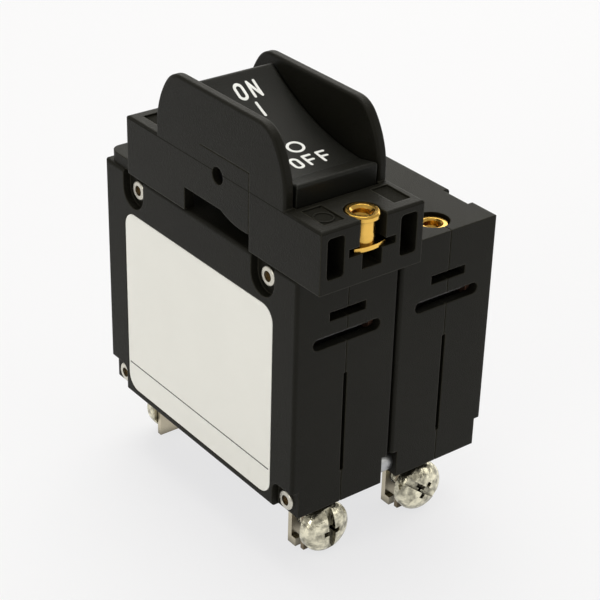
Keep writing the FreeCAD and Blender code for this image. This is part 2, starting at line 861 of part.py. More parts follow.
def nose_slots(bezel, half_length):
    """Insert pockets, mounting slots and sunk pads, alike at the nose and at the far end."""
    slot_top = S.nose_slot_floor + S.nose_slot_height
    tee_top = S.tee_slot_floor + S.tee_slot_height
    half = S.nose_slot_width / 2
    stem = S.lower_slot_width / 2
    tee = S.tee_slot_width / 2
    barrel = S.barrel_slot_width / 2
    for end in ENDS:
        face = half_length * end
        inward = "out" if end < 0 else "back"
        slots = bezel.draw("XZ_Plane", -face)
        for side in ENDS:
            middle = S.nose_slot_middle * side
            slots.rounded(middle - half, S.nose_slot_floor, middle + half, slot_top,
                          S.nose_slot_round)
        bezel.cut(slots, S.nose_slot_depth, inward)
        tee_slot = bezel.draw("XZ_Plane", -face).outline([
            (-stem, S.nose_slot_floor),
            (stem, S.nose_slot_floor),
            (stem, S.tee_slot_floor),
            (tee, S.tee_slot_floor),
            (tee, tee_top),
            (-tee, tee_top),
            (-tee, S.tee_slot_floor),
            (-stem, S.tee_slot_floor),
        ])
        bezel.cut(tee_slot, S.tee_slot_depth, inward)
        reach = S.bezel_insert_reach * end
        beyond = (half_length + S.cut_beyond) * end
        slot = bezel.draw("XY_Plane", S.tee_slot_floor).outline([
            (-barrel * end, reach, COUNTER, None),
            (barrel * end, reach),
            (barrel * end, beyond),
            (-barrel * end, beyond),
        ])
        bezel.cut(slot, S.bezel_height, "back")
        rim = bezel.draw("XY_Plane", S.bezel_height)
        rim.circle(ZERO, reach, S.bezel_insert_flange + S.laid_play)
        bezel.cut(rim, S.bezel_insert_rim)
        ends = [S.nose_pad_start * end, (S.nose_pad_start + S.nose_pad_length) * end]
        low, high = ends[::end]
        pads = bezel.draw("XY_Plane", S.bezel_height)
        pads.rectangle(-S.left_pad_end, low, -S.left_pad_start, high)
        pads.rectangle(S.right_pad_start, low, S.right_pad_end, high)
        bezel.cut(pads, S.nose_pad_sink)


def bezel_inserts():
    """Flanged brass sleeves with a bowed foot that slides into the bezel's tee slot."""
    pieces = []
    top = S.case_height + S.bezel_height
    depth = S.bezel_height - S.tee_slot_floor
    for end, name in zip(ENDS, ("near", "far")):
        across, along = BEZEL_X, BEZEL_Y + S.bezel_insert_reach * end
        insert = Piece(f"bezel_insert_{name}", across, along, top)
        profile = insert.draw("XZ_Plane").outline([
            (S.insert_bore, -depth),
            (S.bezel_insert_radius, -depth),
            (S.bezel_insert_radius, -S.bezel_insert_rim),
            (S.bezel_insert_flange, -S.bezel_insert_rim),
            (S.bezel_insert_flange, -S.insert_edge_break),
            (S.bezel_insert_flange - S.insert_edge_break, ZERO),
            (S.insert_bore + S.insert_mouth, ZERO),
            (S.insert_bore, -S.insert_mouth),
        ])
        insert.revolve(profile)
        plate = S.insert_plate_width / 2
        half = S.insert_plate_depth / 2
        foot = insert.draw("XY_Plane", -depth)
        foot.outline([
            (-plate, -half, COUNTER, S.insert_plate_bow),
            (plate, -half),
            (plate, half, COUNTER, S.insert_plate_bow),
            (-plate, half),
        ])
        foot.circle(ZERO, ZERO, S.insert_bore)
        insert.pad(foot, S.insert_plate_thickness)
        pieces.append(insert)
    return group("bezel_inserts", pieces)


# --- rocker and linkage --------------------------------------------------------------------

def rocker():
    """Dished rocker with a finger lip, skirts that close its well, a hub and a drive lug."""
    made = Piece("rocker", BEZEL_X, BEZEL_Y, PIVOT_Z, (X_AXIS, REST_TILT.value))
    rise, drop = S.skirt_rise, S.skirt_drop
    near, far = S.near_skirt_radius, S.far_skirt_radius
    shape = made.draw("YZ_Plane").outline([
        (-near * cosine(drop), -near * sine(drop)),
        (far * cosine(drop), -far * sine(drop), COUNTER, far),
        (far * cosine(rise), far * sine(rise)),
        (S.rocker_far_reach, S.rocker_far_height, CLOCKWISE, S.rocker_dish),
        (-S.rocker_near_reach, S.rocker_near_height),
        (-S.lip_reach, S.lip_height),
        (-near * cosine(rise), near * sine(rise), COUNTER, near),
    ])
    made.pad(shape, ROCKER_HALF * 2, "both")

    def top_rim(edge):
        ends = [vertex.Point for vertex in edge.Vertexes]
        crosswise = abs(ends[0].x - ends[-1].x) > ROCKER_HALF.value
        corner_heights = (S.lip_height.value, S.rocker_far_height.value)
        at_corner = any(abs(ends[0].z - height) < 0.01 for height in corner_heights)
        beside_dish = all(point.z > S.rocker_near_height.value - 0.01 for point in ends)
        return at_corner if crosswise else beside_dish

    made.soften(top_rim, S.rocker_round)

    wall = S.rocker_wall
    hollow = made.draw("YZ_Plane").outline([
        (S.skirt_wall - near, -near),
        (far - S.skirt_wall, -near),
        (far - S.skirt_wall, S.rocker_far_height - S.crown_wall, CLOCKWISE,
         S.rocker_dish + S.crown_wall),
        (S.skirt_wall - near, S.rocker_near_height - S.crown_wall),
    ])
    made.cut(hollow, (ROCKER_HALF - wall) * 2, "both")

    hub = made.draw("YZ_Plane").circle(ZERO, ZERO, S.hub_radius)
    made.pad(hub, ROCKER_HALF * 2 - wall, "both")
    half = S.lug_width / 2
    lug = made.draw("YZ_Plane", LUG_X).outline([
        (-half, -S.lug_length, COUNTER, None),
        (half, -S.lug_length),
        (half, S.rocker_near_height - wall),
        (-half, S.rocker_near_height - wall),
    ])
    made.pad(lug, S.lug_thickness, "both")
    bores = made.draw("YZ_Plane")
    bores.circle(ZERO, ZERO, S.pin_radius + S.pin_play)
    bores.circle(ZERO, -S.lug_length, S.link_pin + S.link_play)
    made.cut(bores, BEZEL_WIDTH, "both")
    return made


def rocker_pin():
    pin = Piece("rocker_pin", BEZEL_X, BEZEL_Y, PIVOT_Z)
    section = pin.draw("YZ_Plane").circle(ZERO, ZERO, S.pin_radius)
    pin.pad(section, BEZEL_WIDTH - S.pin_sink * 2, "both")
    return pin


def toggle_link():
    """Two plates and two pins that join the rocker's lug to the contact arm of pole a."""
    rest = LINKAGE.lug
    link = Piece("toggle_link", POLES["a"], Size(rest.y), Size(rest.z), (X_AXIS, LINKAGE.hang))
    length = Size(LINKAGE.length)
    gap = S.arm_thickness / 2 + S.link_side_gap
    half = S.link_width / 2
    for side in ENDS:
        plate = link.draw("YZ_Plane", gap * side).outline([
            (-half, -length, COUNTER, None),
            (half, -length),
            (half, ZERO, COUNTER, None),
            (-half, ZERO),
        ])
        link.pad(plate, S.link_plate, "out" if side > 0 else "back")
        if side < 0:
            pins = link.draw("YZ_Plane")
            pins.circle(ZERO, ZERO, S.link_pin)
            pins.circle(ZERO, -length, S.link_pin)
            link.pad(pins, (gap + S.link_plate) * 2, "both")
    return link


def contact_shaft():
    """Moulded shaft that turns in both cases and carries both contact arms."""
    shaft = Piece("contact_shaft", ZERO, S.shaft_along, SHAFT_UP)
    section = shaft.draw("YZ_Plane").circle(ZERO, ZERO, S.shaft_radius)
    half = S.pole_width + HALF_GAP - S.side_wall - S.shaft_play
    shaft.pad(section, half * 2, "both")
    return shaft


def contact_arm(pole):
    """Copper arm drawn closed and set back to its open rest; the slot frees the link's pin."""
    turn = (X_AXIS, -LINKAGE.swing)
    arm = Piece(f"contact_arm_{pole}", POLES[pole], S.shaft_along, SHAFT_UP, turn)
    blade = arm.draw("YZ_Plane").outline([
        (ZERO, -S.arm_collar, COUNTER, None),
        (ZERO, S.arm_collar),
        (-S.arm_lobe_start, S.arm_lobe),
        (-S.arm_lobe_end, S.arm_lobe),
        (-S.arm_tip_reach, S.arm_tip_depth - S.arm_foot),
        (-S.arm_tip_reach, -S.arm_foot),
        (-S.arm_foot_start, -S.arm_foot),
        (-S.arm_lobe_start, -S.arm_collar),
    ])
    arm.pad(blade, S.arm_thickness, "both")
    holes = arm.draw("YZ_Plane")
    holes.circle(ZERO, ZERO, S.shaft_radius + S.fixed_play)
    play = S.link_pin + S.arm_slot_play
    holes.outline([
        (-S.arm_pin_reach + play, S.arm_pin_rise, COUNTER, None),
        (-S.arm_pin_reach - play, S.arm_pin_rise),
        (-S.arm_pin_reach - play, S.arm_pin_rise - S.arm_slot_drop, COUNTER, None),
        (-S.arm_pin_reach + play, S.arm_pin_rise - S.arm_slot_drop),
    ])
    arm.cut(holes, S.arm_thickness * 2, "both")
    return arm


def moving_contacts():
    pieces = []
    for pole, across in POLES.items():
        turn = (X_AXIS, -LINKAGE.swing)
        button = Piece(f"moving_contact_{pole}", across, S.shaft_along, SHAFT_UP, turn)
        disc = button.draw("XY_Plane", -S.arm_foot)
        disc.circle(ZERO, -S.contact_reach, S.contact_radius)
        button.pad(disc, S.contact_thickness, "back")
        pieces.append(button)
    return group("moving_contacts", pieces)


# --- terminals -----------------------------------------------------------------------------

CLOSED_CONTACT = SHAFT_UP - S.arm_foot - S.contact_thickness
FIXED_CONTACT = CLOSED_CONTACT - S.contact_gap_closed
SHELF_TOP = FIXED_CONTACT - S.contact_thickness


def terminal(label, pole, end, top):
    """Flat tab through the case floor, bored for its screw."""
    tab = Piece(label, POLES[pole], TAB_REACH[end] * end, ZERO)
    half_width = S.tab_width / 2
    blank = tab.draw("XZ_Plane").rectangle(-half_width, -S.tab_drop, half_width, top)
    tab.pad(blank, S.tab_thickness, "both")
    thread = tab.draw("XZ_Plane").circle(ZERO, -S.screw_drop, S.screw_radius + S.fixed_play)
    tab.cut(thread, S.tab_thickness * 2, "both")
    return tab


def line_terminal(pole):
    """Near terminal: ears folded out beside its screw, a shelf for the contact at its top."""
    tab = terminal(f"line_terminal_{pole}", pole, -1, SHELF_TOP)
    ears = tab.draw("XZ_Plane", S.tab_thickness / 2)
    half_width = S.tab_width / 2
    ear_top = S.tab_ear_height - S.tab_drop
    ears.rectangle(-half_width, -S.tab_drop, S.tab_ear_width - half_width, ear_top)
    ears.rectangle(half_width - S.tab_ear_width, -S.tab_drop, half_width, ear_top)
    tab.pad(ears, S.tab_ear_reach, "out")
    shelf_end = S.shaft_along - S.contact_reach + S.contact_radius + S.laid_play + S.line_tab_reach
    shelf = tab.draw("YZ_Plane").rectangle(ZERO, SHELF_TOP - S.tab_thickness, shelf_end, SHELF_TOP)
    tab.pad(shelf, S.tab_width, "both")
    return tab


def load_terminal(pole):
    return terminal(f"load_terminal_{pole}", pole, 1, S.load_strip_top)


def clamp_plates():
    """Square plates on the line screws that press a wire against the tab."""
    pieces = []
    half = S.tab_width / 2
    foot = S.clamp_plate_lift - S.tab_drop
    for pole, across in POLES.items():
        plate = Piece(f"clamp_plate_{pole}", across, -S.line_head_start, ZERO)
        blank = plate.draw("XZ_Plane").rectangle(-half, foot, half, foot + S.clamp_plate_height)
        plate.pad(blank, S.clamp_plate_thickness, "back")
        bore = plate.draw("XZ_Plane").circle(ZERO, -S.screw_drop, S.screw_radius + S.fixed_play)
        plate.cut(bore, S.clamp_plate_thickness * 2, "both")
        pieces.append(plate)
    return group("clamp_plates", pieces)


def fixed_contacts():
    pieces = []
    for pole, across in POLES.items():
        along = S.shaft_along - S.contact_reach
        button = Piece(f"fixed_contact_{pole}", across, along, SHELF_TOP)
        disc = button.draw("XY_Plane").circle(ZERO, ZERO, S.contact_radius)
        button.pad(disc, S.contact_thickness)
        pieces.append(button)
    return group("fixed_contacts", pieces)


def terminal_screws():
    """Pan-head screws with a crossed recess, one through each tab."""
    pieces = []
    crown = S.screw_head_height
    for pole, across in POLES.items():
        for end, name in zip(ENDS, ("line", "load")):
            turn = (X_AXIS, 90 if end < 0 else -90)
            along = HEAD_START[end] * end
            shank = HEAD_START[end] - S.screw_tail
            screw = Piece(f"screw_{name}_{pole}", across, along, -S.screw_drop, turn)
            profile = screw.draw("XZ_Plane").outline([
                (ZERO, -shank),
                (S.screw_point, -shank),
                (S.screw_radius, S.screw_point - shank),
                (S.screw_radius, ZERO),
                (S.screw_head_radius, ZERO),
                (S.screw_head_radius, S.screw_head_side, COUNTER, S.screw_head_round),
                (S.screw_crown_radius, crown - S.screw_crown_drop),
                (ZERO, crown),
            ])
            screw.revolve(profile)
            cross = screw.draw("XY_Plane", crown)
            half = S.screw_recess_width / 2
            reach = S.screw_recess_reach
            cross.outline([
                (half, -reach), (half, -half), (reach, -half), (reach, half),
                (half, half), (half, reach), (-half, reach), (-half, half),
                (-reach, half), (-reach, -half), (-half, -half), (-half, -reach),
            ])
            screw.cut(cross, S.screw_recess_depth)
            pieces.append(screw)
    return group("terminal_screws", pieces)


# --- magnet --------------------------------------------------------------------------------

def magnet_frame(pole):
    """Bent steel yoke: floor, back plate that holds the tube, and ears for the armature's pin."""
    frame = Piece(f"magnet_frame_{pole}", POLES[pole], ZERO, ZERO)
    sheet = S.magnet_sheet
    floor_top = S.magnet_floor + sheet
    yoke = frame.draw("YZ_Plane").outline([
        (S.magnet_front, S.magnet_floor),
        (S.magnet_back, S.magnet_floor),
        (S.magnet_back, S.magnet_top),
        (S.magnet_back - sheet, S.magnet_top),
        (S.magnet_back - sheet, floor_top),
        (S.magnet_front, floor_top),
    ])
    frame.pad(yoke, S.magnet_width, "both")
    ear_half = S.hinge_along - S.magnet_front
    for side in ENDS:
        ear = frame.draw("YZ_Plane", S.magnet_width / 2 * side)
        ear.rectangle(S.magnet_front, S.magnet_floor + sheet / 2, S.hinge_along + ear_half,
                      S.hinge_height + ear_half)
        frame.pad(ear, S.ear_thickness, "back" if side > 0 else "out")
    pin = frame.draw("YZ_Plane")
    pin.circle(S.hinge_along, S.hinge_height, S.hinge_pin + S.hinge_play)
    frame.cut(pin, S.magnet_width * 2, "both")
    bore = frame.draw("XZ_Plane", -S.magnet_back)
    bore.circle(ZERO, S.coil_height, S.tube_radius + S.fixed_play)
    frame.cut(bore, sheet * 2, "both")
    return frame


ALONG_Y = (X_AXIS, -90)
COIL_BACK = S.magnet_back - S.magnet_sheet - S.laid_play
CAP_FACE = S.hinge_along + S.armature_thickness / 2 + S.air_gap


def turned(label, pole, profile):
    """A piece turned about the coil's axis; its upright sketch axis lies along +Y."""
    made = Piece(label, POLES[pole], ZERO, S.coil_height, ALONG_Y)
    made.revolve(made.draw("XZ_Plane").outline(profile))
    return made


def delay_tube(pole):
    """Closed brass tube with a wide pole cap at the armature's end."""
    outer = S.tube_radius
    inner = outer - S.tube_wall
    start = CAP_FACE + S.cap_thickness
    return turned(f"delay_tube_{pole}", pole, [
        (ZERO, CAP_FACE),
        (S.cap_radius, CAP_FACE),
        (S.cap_radius, start),
        (outer, start),
        (outer, S.tube_end),
        (ZERO, S.tube_end),
        (ZERO, S.tube_end - S.tube_wall),
        (inner, S.tube_end - S.tube_wall),
        (inner, start + S.tube_wall),
        (ZERO, start + S.tube_wall),
    ])


def delay_core(pole):
    back = S.tube_end - S.tube_wall - S.core_rest
    return turned(f"delay_core_{pole}", pole, [
        (ZERO, back - S.core_length),
        (S.core_radius, back - S.core_length),
        (S.core_radius, back),
        (ZERO, back),
    ])


def coil_bobbin(pole):
    bore = S.tube_radius + S.fixed_play
    start, end, rim = S.bobbin_start, COIL_BACK, S.bobbin_flange
    return turned(f"coil_bobbin_{pole}", pole, [
        (bore, start),
        (S.bobbin_radius, start),
        (S.bobbin_radius, start + rim),
        (S.bobbin_hub, start + rim),
        (S.bobbin_hub, end - rim),
        (S.bobbin_radius, end - rim),
        (S.bobbin_radius, end),
        (bore, end),
    ])


def coil_winding(pole):
    start = S.bobbin_start + S.bobbin_flange + S.fixed_play
    end = COIL_BACK - S.bobbin_flange - S.fixed_play
    inner = S.bobbin_hub + S.fixed_play
    return turned(f"coil_winding_{pole}", pole, [
        (inner, start),
        (S.winding_radius, start),
        (S.winding_radius, end),
        (inner, end),
    ])


def armature(pole):
    """Steel flap on a cross pin; it tips towards the pole cap when the coil pulls."""
    flap = Piece(f"armature_{pole}", POLES[pole], S.hinge_along, S.hinge_height)
    half = S.armature_width / 2
    tip = S.armature_tip / 2
    blade = flap.draw("XZ_Plane").outline([
        (-half, -S.armature_foot),
        (half, -S.armature_foot),
        (half, S.armature_shoulder),
        (tip, S.armature_rise),
        (-tip, S.armature_rise),
        (-half, S.armature_shoulder),
    ])
    flap.pad(blade, S.armature_thickness, "both")
    pin = flap.draw("YZ_Plane").circle(ZERO, ZERO, S.hinge_pin)
    flap.pad(pin, S.magnet_width, "both")
    return flap


# --- arc chute -----------------------------------------------------------------------------

def arc_chute(pole):
    """Stack of steel plates with a notch towards the arm, between two fibre sides."""
    back = S.end_wall + S.laid_play * 2 - CASE_END
    floor = SHAFT_UP - S.arc_chute_drop
    plates = []
    half = S.arc_plate_width / 2
    for number in range(ARC_PLATES):
        up = floor + S.arc_plate_pitch * number
        plate = Piece(f"arc_plate_{pole}_{number + 1}", POLES[pole], back, up)
        notch = S.arm_thickness
        blank = plate.draw("XY_Plane").outline([
            (-half, ZERO),
            (half, ZERO),
            (half, S.arc_plate_depth),
            (notch, S.arc_plate_depth),
            (ZERO, S.arc_plate_depth / 2),
            (-notch, S.arc_plate_depth),
            (-half, S.arc_plate_depth),
        ])
        plate.pad(blank, S.arc_plate_thickness)
        plates.append(plate)
    group(f"arc_plates_{pole}", plates)
    sides = []
    height = S.arc_plate_pitch * ARC_PLATES
    for side, name in zip(ENDS, ("left", "right")):
        across = POLES[pole] + (half + S.fixed_play) * side
        wall = Piece(f"arc_side_{pole}_{name}", across, back, floor)
        sheet = wall.draw("YZ_Plane").rectangle(ZERO, -S.arc_plate_thickness, S.arc_plate_depth,
                                                height)
        wall.pad(sheet, S.arc_side_thickness, "out" if side > 0 else "back")
        sides.append(wall)
    group(f"arc_sides_{pole}", sides)


# --- braid ---------------------------------------------------------------------------------

def braid(pole):
    """Flexible lead from the top of the winding to just under the contact arm's hub."""
    low = S.coil_height + S.winding_radius
    high = SHAFT_UP - S.arm_collar - S.laid_play * 3
    rise = (high - low).value
    lean = S.braid_lean.value
    start = Vector(0, 0, 0)
    knees = [Vector(0, 0, rise * BRAID_KNEE), Vector(0, lean, rise * (1 - BRAID_KNEE))]
    end = Vector(0, lean, rise)
    bend = S.braid_bend.value
    edges = []
    last = start
    route = [start] + knees + [end]
    for before, knee, after in zip(route, route[1:], route[2:]):
        towards = (before - knee).normalize()
        away = (after - knee).normalize()
        half_turn = math.acos(max(-1, min(1, towards.dot(away)))) / 2
        setback = bend / math.tan(half_turn)
        entry = knee + towards * setback
        leave = knee + away * setback
        bisector = (towards + away).normalize()
        centre = knee + bisector * (bend / math.sin(half_turn))
        crest = centre - bisector * bend
        edges.append(Part.LineSegment(last, entry).toShape())
        edges.append(Part.Arc(entry, crest, leave).toShape())
        last = leave
    edges.append(Part.LineSegment(last, end).toShape())
    path = Part.Wire(edges)
    section = Part.Wire(Part.Circle(start, Vector(0, 0, 1), S.braid_radius.value).toShape())
    made = doc.addObject("Part::Feature", f"braid_{pole}")
    made.Label = f"braid_{pole}"
    made.Shape = path.makePipeShell([section], True, False)
    place = Vector(POLES[pole].value, CASE_ALONG.value + S.shaft_along.value - lean * 2,
                   CASE_UP.value + low.value)
    made.Placement = Placement(place, Rotation())
    return made


# --- assembly ------------------------------------------------------------------------------

def build():
    case_half("case_a_outer", "a", -1)
    case_half("case_a_inner", "a", 1)
    case_half("case_b_inner", "b", -1)
    case_half("case_b_outer", "b", 1)
    rating_label()
    case_rivets()
    rivet_spacers()
    case_inserts()
    rocker_bezel()
    bezel_inserts()
    rocker()
    rocker_pin()
    toggle_link()
    contact_shaft()
    moving_contacts()
    fixed_contacts()
    clamp_plates()
    terminal_screws()
    for pole in POLES:
        contact_arm(pole)
        line_terminal(pole)
        load_terminal(pole)
        magnet_frame(pole)
        coil_bobbin(pole)
        coil_winding(pole)
        delay_tube(pole)
        delay_core(pole)
        armature(pole)
        arc_chute(pole)
        braid(pole)
    doc.recompute()


def nodes():
    """Every finished sub-part: groups, loose bodies and shapes that no group has taken."""
    kinds = ("PartDesign::Body", "Part::Compound", "Part::Feature")
    grouped = {member.Name for made in doc.Objects if made.TypeId == "Part::Compound"
               for member in made.Links}
    return [made for made in doc.Objects if made.TypeId in kinds and made.Name not in grouped]


def check():
    for made in doc.Objects:
        if "Invalid" in made.State or "Error" in made.State:
            raise RuntimeError(f"{made.Label} failed to build: {made.State}")
    for node in nodes():
        if node.Shape.isNull() or not node.Shape.isValid() or not node.Shape.Solids:
            raise RuntimeError(f"{node.Label} has no valid solid")


def export():
    os.makedirs("parts", exist_ok=True)
    for node in nodes():
        node.Shape.exportStep(f"parts/{node.Label}.step")


def report():
    whole = Part.Compound([node.Shape for node in nodes()]).BoundBox
    print(f"{len(nodes())} nodes, {whole.XLength:.3f} x {whole.YLength:.3f} x {whole.ZLength:.3f}")
    print(f"x {whole.XMin:.3f} {whole.XMax:.3f}  y {whole.YMin:.3f} {whole.YMax:.3f}"
          f"  z {whole.ZMin:.3f} {whole.ZMax:.3f}")
    for node in nodes():
        solids = len(node.Shape.Solids)
        print(f"{node.Label:20s} {solids} solids {node.Shape.Volume:10.3f} mm3")
    print(f"arm swing {LINKAGE.swing:.4f} link turn {LINKAGE.turn:.4f} hang {LINKAGE.hang:.4f}"
          f" length {LINKAGE.length:.4f}")
    print(f"lug pin y {LINKAGE.lug.y + CASE_ALONG.value:.4f} z {LINKAGE.lug.z + CASE_UP.value:.4f}")


build()
check()
export()
report()
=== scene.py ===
"""Looks of a two-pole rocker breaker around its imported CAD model. Lengths are in metres."""

import json
import math

import bpy
from mathutils import Matrix, Vector


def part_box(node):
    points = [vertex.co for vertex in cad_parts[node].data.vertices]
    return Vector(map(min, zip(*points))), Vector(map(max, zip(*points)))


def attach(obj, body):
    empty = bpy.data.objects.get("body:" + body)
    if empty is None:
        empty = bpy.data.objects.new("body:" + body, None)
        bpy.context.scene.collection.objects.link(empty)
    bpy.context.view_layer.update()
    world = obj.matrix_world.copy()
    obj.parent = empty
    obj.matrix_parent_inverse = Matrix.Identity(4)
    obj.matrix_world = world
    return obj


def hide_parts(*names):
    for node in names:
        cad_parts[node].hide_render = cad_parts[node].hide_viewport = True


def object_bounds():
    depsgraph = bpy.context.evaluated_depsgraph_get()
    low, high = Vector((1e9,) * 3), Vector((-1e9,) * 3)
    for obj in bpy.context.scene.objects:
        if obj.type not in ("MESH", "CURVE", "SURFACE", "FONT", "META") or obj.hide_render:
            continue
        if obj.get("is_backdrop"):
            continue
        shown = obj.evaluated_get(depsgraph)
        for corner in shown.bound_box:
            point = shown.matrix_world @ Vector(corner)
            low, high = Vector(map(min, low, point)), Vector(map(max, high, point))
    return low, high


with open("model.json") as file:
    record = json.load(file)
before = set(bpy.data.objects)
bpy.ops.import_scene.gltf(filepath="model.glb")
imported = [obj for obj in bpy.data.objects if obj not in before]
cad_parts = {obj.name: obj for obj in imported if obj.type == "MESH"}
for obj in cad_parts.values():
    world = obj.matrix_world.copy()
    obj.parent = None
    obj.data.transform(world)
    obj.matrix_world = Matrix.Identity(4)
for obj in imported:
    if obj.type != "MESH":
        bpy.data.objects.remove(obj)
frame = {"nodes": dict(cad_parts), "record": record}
NODES = frame["nodes"]
MM = 0.001


def keep_size(key, sizes={}):
    sizes[key] = [list(corner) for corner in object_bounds()]


keep_size("cad")


# ---------------------------------------------------------------- places
def mount(name):
    """Place and outward direction of a seat in the record."""
    seat = next(seat for seat in frame["record"]["mounts"] if seat["name"] == name)
    return Vector(seat["pos_m"]), Vector(seat["axis"])


def middle(name):
    """Middle of a CAD node's box."""
    low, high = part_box(name)
    return (low + high) / 2


# ---------------------------------------------------------------- shader maths
class Value:
    """A shader socket that can be reckoned with: an operator adds the Math node for it."""

    def __init__(self, socket):
        self.socket = socket

    def _math(self, operation, first, second=None):
        tree = self.socket.id_data
        node = tree.nodes.new("ShaderNodeMath")
        node.operation = operation
        for place, given in enumerate((first, second)):
            if isinstance(given, Value):
                tree.links.new(given.socket, node.inputs[place])
            elif given is not None:
                node.inputs[place].default_value = given
        return Value(node.outputs[0])

    def __add__(self, other):
        return self._math("ADD", self, other)

    def __radd__(self, other):
        return self._math("ADD", other, self)

    def __sub__(self, other):
        return self._math("SUBTRACT", self, other)

    def __rsub__(self, other):
        return self._math("SUBTRACT", other, self)

    def __mul__(self, other):
        return self._math("MULTIPLY", self, other)

    def __rmul__(self, other):
        return self._math("MULTIPLY", other, self)

    def __lt__(self, other):
        return self._math("LESS_THAN", self, other)

    def __abs__(self):
        return self._math("ABSOLUTE", self)

    def sine(self):
        return self._math("SINE", self)


EDGE_SAMPLES = 8


class Finish:
    """A material on a Principled shader, with its nodes added by one method."""

    def __init__(self, name, colour, roughness, metallic=0.0, specular=0.5):
        self.material = bpy.data.materials.new(name)
        self.material.use_nodes = True
        self.tree = self.material.node_tree
        self.shader = self.tree.nodes["Principled BSDF"]
        self.set("Base Color", (*colour, 1.0))
        self.set("Roughness", roughness)
        self.set("Metallic", metallic)
        self.set("Specular IOR Level", specular)
        place = self.node("ShaderNodeTexCoord")
        self.place = place.outputs["Object"]
        axes = self.node("ShaderNodeSeparateXYZ", inputs={0: self.place})
        self.x, self.y, self.z = (Value(socket) for socket in axes.outputs)

    def node(self, kind, settings=None, inputs=None):
        """Adds a node: its settings first, then the values or links of its sockets."""
        made = self.tree.nodes.new(kind)
        for name, value in (settings or {}).items():
            setattr(made, name, value)
        for name, given in (inputs or {}).items():
            if isinstance(given, Value):
                given = given.socket
            if isinstance(given, bpy.types.NodeSocket):
                self.tree.links.new(given, made.inputs[name])
            else:
                made.inputs[name].default_value = given
        return made

    def set(self, name, given):
        """Sets a socket of the shader, or links it."""
        if isinstance(given, Value):
            given = given.socket
        if isinstance(given, bpy.types.NodeSocket):
            self.tree.links.new(given, self.shader.inputs[name])
        else:
            self.shader.inputs[name].default_value = given

    def noise(self, size, detail=2.0, stretch=(1.0, 1.0, 1.0)):
        """Noise with features of about that size, from 0 to 1."""
        spread = tuple(share / size for share in stretch)
        mapping = self.node("ShaderNodeMapping", inputs={"Vector": self.place, "Scale": spread})
        made = self.node(
            "ShaderNodeTexNoise",
            inputs={"Vector": mapping.outputs[0], "Scale": 1.0, "Detail": detail},
        )
        return Value(made.outputs["Fac"])

    def blend(self, mask, first, second):
        """One colour where the mask is 0 and another where it is 1."""
        made = self.node(
            "ShaderNodeMix",
            {"data_type": "RGBA"},
            {"Factor": mask, 6: first, 7: second},
        )
        return made.outputs[2]

    def relief(self, height, depth, rounding=0.0):
        """Bump from a height of 0 to 1, over edges that are rounded off by a radius."""
        inputs = {"Height": height, "Distance": depth, "Strength": 1.0}
        if rounding:
            edge = self.node("ShaderNodeBevel", {"samples": EDGE_SAMPLES}, {"Radius": rounding})
            inputs["Normal"] = edge.outputs[0]
        self.set("Normal", self.node("ShaderNodeBump", inputs=inputs).outputs[0])

    def closed_in(self, distance):
        """Grows from 0 on open faces to 1 in recesses and narrow gaps."""
        settings = {"samples": EDGE_SAMPLES}
        sky = self.node("ShaderNodeAmbientOcclusion", settings, {"Distance": distance})
        return 1.0 - Value(sky.outputs["AO"])

    def edge_sheen_and_wear(self, radius):
        """Grows from 0 on flat faces towards 1 where an edge is rounded off by a radius."""
        soft = self.node("ShaderNodeBevel", {"samples": EDGE_SAMPLES}, {"Radius": radius})
        true = self.node("ShaderNodeNewGeometry")
        turn = self.node(
            "ShaderNodeVectorMath",
            {"operation": "DOT_PRODUCT"},
            {0: soft.outputs[0], 1: true.outputs["Normal"]},
        )
        return 1.0 - Value(turn.outputs["Value"])


def shade(colour, share):
    """A colour made darker or lighter by a share, for a Mix node."""
    return (*(min(1.0, part * share) for part in colour), 1.0)


FLOW_CLOUD = 9 * MM
BODY_DARK = 0.55
BODY_LIGHT = 1.45
# Edges lightened in specks: painted highlight where rounded edges catch light, together with wear.
EDGE_SHEEN_AND_WEAR = 0.25 * MM
SHEEN_AND_WEAR_GAIN = 3.0
SHEEN_AND_WEAR_LIGHT = 9.0
PAD_BAND = 0.08 * MM
PAD_DULLNESS = 0.4
GRAIN_SHINE = 0.18


def moulded(name, colour, roughness, grain, depth, rounding, specular=0.4, pad_height=None):
    """Moulded thermoset or nylon: spark-eroded grain, faint flow clouds, softened edges that are
    lightened in specks, partly as painted highlight and partly as wear.

    Faces at the height of sunk pads are coarser and duller.
    """
    made = Finish(name, colour, roughness, specular=specular)
    cloud = made.noise(FLOW_CLOUD, detail=3.0)
    speck = made.noise(grain)
    dark, light = shade(colour, BODY_DARK), shade(colour, BODY_LIGHT)
    body = made.blend(0.5 * cloud + 0.5 * speck, dark, light)
    # Painted highlight with wear: speckled edges found by a bevel are lightened, standing in for
    # light caught on rounded edges as well as rubbed edges.
    sheen_and_wear = made.edge_sheen_and_wear(EDGE_SHEEN_AND_WEAR) * (SHEEN_AND_WEAR_GAIN * speck)
    made.set("Base Color", made.blend(sheen_and_wear, body, shade(colour, SHEEN_AND_WEAR_LIGHT)))
    rough = roughness - GRAIN_SHINE / 2 + GRAIN_SHINE * speck
    if pad_height is not None:
        rough = rough + PAD_DULLNESS * (abs(made.z - pad_height) < PAD_BAND)
    made.set("Roughness", rough)
    made.relief(speck, depth, rounding)
    return made.material


# Painted shade in metal recesses: the dark tone, and how an occlusion mask brings it in.
RECESS_SHADE_TONE = 0.12
RECESS_SHADE_GAIN = 1.6
RECESS_SHADE_START = 0.15
MARK_SHINE = 0.16


